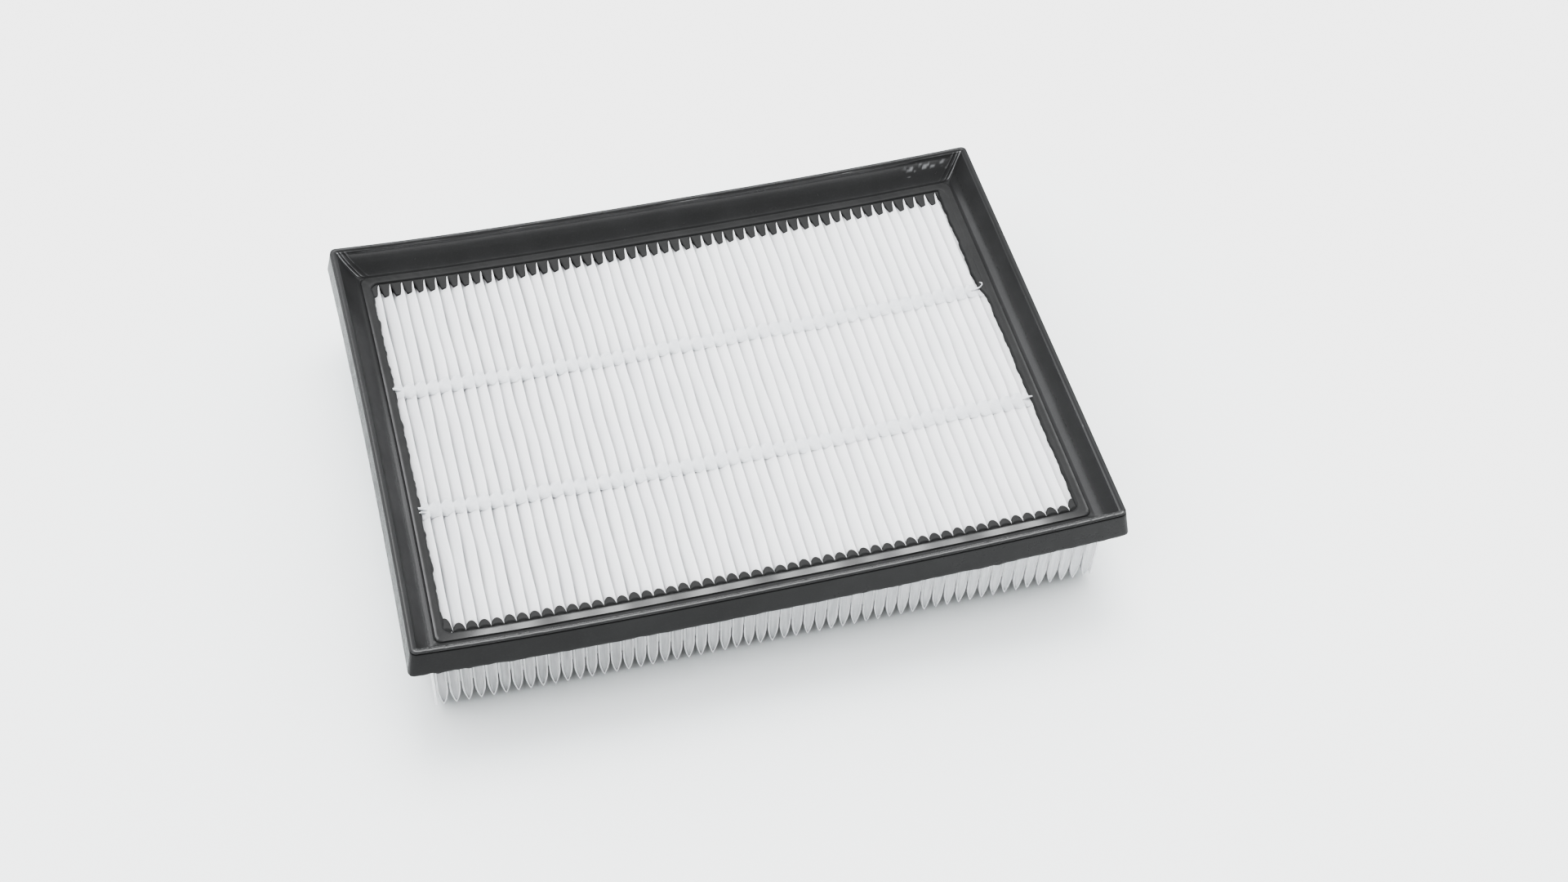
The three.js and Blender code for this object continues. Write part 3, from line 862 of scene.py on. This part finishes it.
def make_media(material):
    """The pleated sheet: pleats that lean and wander, held at the beads and in the foam."""
    xs, zs, ridge, fold = media_profile()
    y = media_rows()
    depth = PACK_HEIGHT - zs
    top_share = 1 - smooth(2, 22, depth)
    low_share = 1 - smooth(2, 16, zs)
    teeth_end = RIM_HALF_Y - by_side(y, TOOTH_REACH)
    settled = smooth(teeth_end + 0.3, teeth_end + by_side(y, LEAN_SETTLE), np.abs(y))
    most = LEAN - (LEAN - by_side(y, LEAN_AT_TEETH)) * settled
    held = 1 - smooth(*FOAM_HOLD, np.abs(y))
    rate = rate_at((ridge - (RIDGE_COUNT - 1) / 2) * PITCH)
    shift = -lean(depth, rate)[None, :] * (most / LEAN * held)[:, None]
    shift += ridge_wander(y, ridge, 200, WANDER) * top_share[None, :]
    end_wall = np.abs(xs) > LAST_RIDGE - 0.1
    shift *= np.where(end_wall, 0.0, 1.0)[None, :]
    folds_wander = FOLD_WANDER * ridge_wander(y, np.maximum(fold, 0), 400, 1.0)
    shift += folds_wander * low_share[None, :] * (fold >= 0)
    uneven = CREST_UNEVEN * wave(y, 91, (63, 29))[:, None] * top_share[None, :]
    height = zs[None, :] + uneven * (depth < 3)[None, :] * 0.5
    # The crests dip under the near ledge, so that none shows in the groove behind the near teeth
    dip = NEAR_DIP * smooth(89.9, 90.5, -y)[:, None] * (1 - smooth(3, 9, depth))[None, :]
    grid = np.zeros((len(y), len(xs), 3))
    grid[..., 0] = xs[None, :] + shift
    grid[..., 1] = y[:, None]
    grid[..., 2] = PACK_FOOT + (height - dip)
    shell = Shell()
    shell.sweep(grid)
    obj = shell.make("pleated_media_sheet", "pleated_media", material, 60)


# ---------------------------------------------------------------- hot melt
def media_envelope(local, rate):
    """Depth of the pleats' upper surface below the crests, at x offsets 0 to PITCH from a crest."""
    depth = np.linspace(0, 9, 400)
    share = np.clip(depth / CREST_DEPTH, 0, 1)
    half = RIDGE_HALF * np.sqrt(1 - (1 - share) ** 2)
    next_left = half + lean(depth, rate)
    right = half - lean(depth, rate)
    behind = np.interp(PITCH - local, next_left, depth)
    widest = np.argmax(right) + 1
    front = np.interp(local, right[:widest], depth[:widest])
    return np.where(local < right.max(), np.minimum(front, behind), behind)


def bead_rows(x, across, middle, lines):
    """A bead's closed sections along x.

    For a place across it, lines gives the offset from its middle and the height of its upper and
    its lower line.
    """
    rows = np.zeros((len(x), 2 * len(across), 3))
    rows[..., 0] = x[:, None]
    for j, place in enumerate(across):
        for k, (offset, height) in zip((j, 2 * len(across) - 1 - j), lines(place)):
            rows[:, k, 1] = middle + offset
            rows[:, k, 2] = height
    return rows


def upper_bead(side):
    """A bead laid across the crests: it skins them over and sinks into each groove."""
    x0 = -LAST_RIDGE + PITCH - 1.9
    x1 = -LAST_RIDGE + (RIDGE_COUNT - 2) * PITCH + 1.9
    x = np.linspace(x0, x1, int((x1 - x0) / BEAD_STEP))
    local = np.mod(x + LAST_RIDGE, PITCH)
    share = (rate_at(x) - LEAN_RATE[0]) / (LEAN_RATE[1] - LEAN_RATE[0])
    dip = (1 - share) * media_envelope(local, LEAN_RATE[0]) + share * media_envelope(local, LEAN_RATE[1])
    dip = np.minimum(dip, BEAD_SINK)
    away = np.minimum(local, PITCH - local)
    half = UPPER_BEAD_HALF + 0.6 * smooth(0.2, 2.0, away) + 0.3 * wave(x, 300 + side, (19, 7.3, 3.1))
    half = half * (0.35 + 0.65 * smooth(0, 1.2, np.minimum(x - x0, x1 - x)))
    middle = 0.35 * wave(x, 310 + side, (90, 41)) + side * BEAD_OFFSET
    top = -0.02 - 0.12 * smooth(0.4, 2.1, away) + 0.03 * wave(x, 320 + side, (11, 4.7))

    def lines(place):
        crown = 1 - abs(place) ** 2.3
        skin = top * crown - (1 - crown) * dip * 0.97 + 0.02
        yield place * half, PACK_TOP + np.maximum(skin, -dip + 0.03)
        yield place * half * 0.96, PACK_TOP - dip * (1 - 0.3 * abs(place)) - 0.04

    across = [-1, -0.86, -0.7, -0.5, -0.25, 0, 0.25, 0.5, 0.7, 0.86, 1]
    return bead_rows(x, across, middle, lines)


def lower_bead(side):
    """The bead under the pack: flat below, with a wedge up into each gap between folds."""
    end = LAST_RIDGE - HALF_PITCH + 1.8
    x = np.linspace(-end, end, int(2 * end / BEAD_STEP))
    local = np.abs(np.mod(x + LAST_RIDGE, PITCH) - HALF_PITCH)
    heights = np.linspace(0, 12, 400)
    outline = tongue_half(heights, HALF_PITCH - SLOT_HALF, 0.0)
    rise = np.clip(np.interp(local, outline, heights), 0, BEAD_RISE)
    half = LOWER_BEAD_HALF + 0.3 * smooth(0.4, 2.0, local) + 0.2 * wave(x, 340 + side, (23, 8))
    middle = 0.3 * wave(x, 350 + side, (80, 37)) + side * BEAD_OFFSET

    def lines(place):
        crown = 1 - abs(place) ** 2.4
        yield place * half, PACK_FOOT + rise * (0.4 + 0.6 * crown) - 0.05
        yield place * half * 0.97, PACK_FOOT * (1 - crown) + 0.02

    return bead_rows(x, np.linspace(-1, 1, 7), middle, lines)


def strand(path, radii):
    """A thin drawn string of hot melt along a path, with a radius at each of its points."""
    path = np.array(path, float)
    at = np.linspace(0, len(path) - 1, 6 * (len(path) - 1) + 1)
    line = np.stack([np.interp(at, range(len(path)), path[:, i]) for i in range(3)], 1)
    for _ in range(3):
        line[1:-1] = (line[:-2] + 2 * line[1:-1] + line[2:]) / 4
    radius = np.interp(at, range(len(path)), radii)
    ahead = np.gradient(line, axis=0)
    ahead /= np.linalg.norm(ahead, axis=1)[:, None]
    side = np.cross(ahead, [0, 0, 1.0])
    side /= np.linalg.norm(side, axis=1)[:, None]
    up = np.cross(side, ahead)
    turn = np.linspace(0, 2 * math.pi, 9)[:-1]
    return line[:, None] + radius[:, None, None] * (
        np.cos(turn)[None, :, None] * side[:, None] + np.sin(turn)[None, :, None] * up[:, None])


def bead_strands(side):
    """The stubs and the curled string where the upper beads run out over the foam."""
    y = side * BEAD_OFFSET
    # Height of the strings that lie on the foam, at the left and the right end
    left_z, right_z = PACK_TOP + 1.0, PACK_TOP + 0.45
    stub = [(-124.4, y, PACK_TOP - 0.3), (-126.1, y + 0.1, left_z - 0.5), (-127.2, y + 0.2, left_z + 0.1),
            (-127.8, y + 0.2, left_z + 0.12)]
    made = [strand(stub, (0.5, 0.6, 0.6, 0.6))]
    if side > 0:
        curl = [(121.5, y, PACK_TOP - 0.2), (124.0, y, right_z), (125.4, y + 0.2, right_z + 0.3),
                (126.7, y + 1.2, right_z + 0.4), (126.9, y + 2.4, right_z + 0.4),
                (125.9, y + 2.9, right_z + 0.3)]
        made.append(strand(curl, (0.45, 0.45, 0.4, 0.35, 0.35, 0.25)))
    else:
        hair = [(-125.1, y - 1.4, PACK_TOP - 0.3), (-126.5, y - 1.5, left_z - 0.2),
                (-127.7, y - 1.9, left_z + 0.15)]
        made.append(strand(hair, (0.4, 0.4, 0.25)))
        tail = [(123.6, y, PACK_TOP - 0.2), (126.3, y, right_z + 0.4), (127.7, y - 0.3, right_z + 0.6)]
        made.append(strand(tail, (0.5, 0.5, 0.35)))
    return made


def make_bead(name, node, rows, material, strands=()):
    """One line of hot melt, with the strings that hang from its ends."""
    shell = Shell()
    shell.sweep(rows)
    for tube in strands:
        shell.sweep(tube)
    shell.make(name, node, material, 60)


def groove_plug(rng, side, fold):
    """Adhesive that fills the end of one groove, a little hollow at its middle."""
    heights = np.array([1.2, 2, 3, 4.5, 6.5, 9, 12, 15, 19, 23, 27, 31, 33.5])
    across = np.linspace(-1, 1, 7)
    centre = -LAST_RIDGE + HALF_PITCH + fold * PITCH
    half = tongue_half(heights, HALF_PITCH - RIDGE_HALF, GROOVE_FLOOR) + 0.02
    set_back = rng.uniform(0.35, 0.6)
    plug = np.zeros((len(heights), 2 * len(across), 3))
    plug[..., 2] = (PACK_FOOT + heights)[:, None]
    for i, a in enumerate(across):
        k = 2 * len(across) - 1 - i
        plug[:, i, 0] = plug[:, k, 0] = centre + a * half
        plug[:, i, 1] = side * (PACK_END - set_back * (1 - 0.75 * abs(a) ** 3))
        plug[:, k, 1] = side * (PACK_END - 3.5)
    return plug


def slot_plug(rng, side, ridge):
    """Adhesive drawn up into the end of the slot inside one ridge."""
    low = rng.uniform(13.5, 16.5)
    heights = np.array([low, low + 0.8, 19, 23, 28, 33.5])
    half = np.array([0.05, SLOT_HALF, *[SLOT_HALF + 0.01] * 4])
    plug = np.zeros((len(heights), 6, 3))
    for i, (a, b) in enumerate([(-1, 0.12), (0, 0.28), (1, 0.12), (1, 2.5), (0, 2.5), (-1, 2.5)]):
        plug[:, i, 0] = -LAST_RIDGE + ridge * PITCH + a * half
        plug[:, i, 1] = side * (PACK_END - b)
        plug[:, i, 2] = PACK_FOOT + heights
    return plug


def seal_line(side):
    """The thin ragged line of adhesive under the frame, along the pleat ends."""
    end = LAST_RIDGE - 1.2
    x = np.linspace(-end, end, 540)
    drop = 1.1 + 0.5 * wave(x, 520 + side, (9.7, 4.85, 31)) ** 2
    out = 0.45 + 0.15 * wave(x, 530 + side, (12, 5.1))
    top = RIM_TOP - FRAME_DEPTH - 0.05
    section = [(-0.6, 0), (-0.05, 0), (0.9, 0), (1.0, 0.35), (0.75, 0.75), (0.2, 1.0), (-0.3, 1.0),
               (-0.6, 0.8)]
    rows = np.zeros((len(x), len(section), 3))
    for i, (a, b) in enumerate(section):
        rows[:, i, 0] = x
        rows[:, i, 1] = side * (PACK_END + a * out)
        rows[:, i, 2] = top - b * drop
    return rows


def make_edge_seal(name, node, side, material):
    """Adhesive drawn a little into every pleat end, and a thin line of it under the frame."""
    shell = Shell()
    rng = np.random.default_rng(500 + side)
    for fold in range(FOLD_COUNT):
        shell.sweep(groove_plug(rng, side, fold))
    for ridge in range(1, RIDGE_COUNT - 1):
        shell.sweep(slot_plug(rng, side, ridge))
    shell.sweep(seal_line(side))
    shell.make(name, node, material, 60)


# ---------------------------------------------------------------- stage, light and camera
def make_stage():
    """The floor, one large plain square under the part."""
    mesh = bpy.data.meshes.new("studio_floor")
    corners = [(x * FLOOR_HALF, y * FLOOR_HALF, 0) for x, y in ((-1, -1), (1, -1), (1, 1), (-1, 1))]
    mesh.from_pydata(corners, [], [(0, 1, 2, 3)])
    mesh.materials.append(floor_material())
    floor = bpy.data.objects.new("studio_floor", mesh)
    bpy.context.scene.collection.objects.link(floor)


def make_light():
    """The dome with its dark patch, and the softbox, which points at the middle of the part."""
    world = bpy.data.worlds.new("studio")
    bpy.context.scene.world = world
    world.use_nodes = True
    tree = world.node_tree
    background = tree.nodes["Background"]
    background.inputs["Color"].default_value = (0.98, 0.99, 1.0, 1)
    coords = tree.nodes.new("ShaderNodeTexCoord")
    facing = tree.nodes.new("ShaderNodeVectorMath")
    facing.operation = "DOT_PRODUCT"
    facing.inputs[1].default_value = SKY_DARK_WAY
    tree.links.new(coords.outputs["Generated"], facing.inputs[0])
    fade = tree.nodes.new("ShaderNodeMapRange")
    fade.interpolation_type = "SMOOTHSTEP"
    for key, number in zip(RANGE_INPUTS, (*SKY_DARK_EDGE, SKY_BRIGHT, SKY_DARK)):
        fade.inputs[key].default_value = number
    tree.links.new(facing.outputs["Value"], fade.inputs[0])
    tree.links.new(fade.outputs[0], background.inputs["Strength"])
    lamp = bpy.data.lights.new("softbox", "AREA")
    lamp.shape = "RECTANGLE"
    lamp.size, lamp.size_y = SOFTBOX_SIZE
    lamp.energy = SOFTBOX_WATTS
    obj = bpy.data.objects.new("softbox", lamp)
    obj.location = SOFTBOX_AT
    obj.rotation_mode = "QUATERNION"
    obj.rotation_quaternion = Vector(SOFTBOX_AT).to_track_quat("Z", "Y")
    bpy.context.scene.collection.objects.link(obj)


def make_camera():
    """The camera where the photo's was, as solved from the corners of the rim."""
    data = bpy.data.cameras.new("camera")
    data.sensor_width, data.lens = SENSOR_MM, LENS_MM
    data.clip_start, data.clip_end = 0.01, 20
    camera = bpy.data.objects.new("camera", data)
    right = Vector(CAMERA_RIGHT).normalized()
    back = Vector(CAMERA_BACK).normalized()
    up = back.cross(right).normalized()
    right = up.cross(back)
    turn = Matrix((right, up, back)).transposed().to_4x4()
    camera.matrix_world = Matrix.Translation(Vector(CAMERA_AT)) @ turn
    bpy.context.scene.collection.objects.link(camera)
    bpy.context.scene.camera = camera


def make_tone_curve():
    """A plain transform with a shoulder, so that whites stay soft and blacks stay deep."""
    view = bpy.context.scene.view_settings
    view.view_transform = "Standard"
    view.use_curve_mapping = True
    mapping = view.curve_mapping
    mapping.use_clip = False
    mapping.extend = "HORIZONTAL"
    curve = mapping.curves[3]
    curve.points[0].location = TONE_CURVE[0]
    curve.points[1].location = TONE_CURVE[-1]
    for x, y in TONE_CURVE[1:-1]:
        curve.points.new(x, y)
    mapping.update()


make_camera()
make_stage()
make_light()

foam = foam_material()
fibre = media_material()
wax = hot_melt_material()
adhesive = seal_material()

make_frame(foam)
make_media(fibre)
for name, side in (("front", -1), ("rear", 1)):
    make_bead("upper_bead_" + name, "separator_bead_upper_" + name, upper_bead(side), wax,
              bead_strands(side))
    make_bead("lower_bead_" + name, "separator_bead_lower_" + name, lower_bead(side), wax)
    make_edge_seal("edge_seal_" + name + "_adhesive", "edge_seal_" + name, side, adhesive)

make_tone_curve()
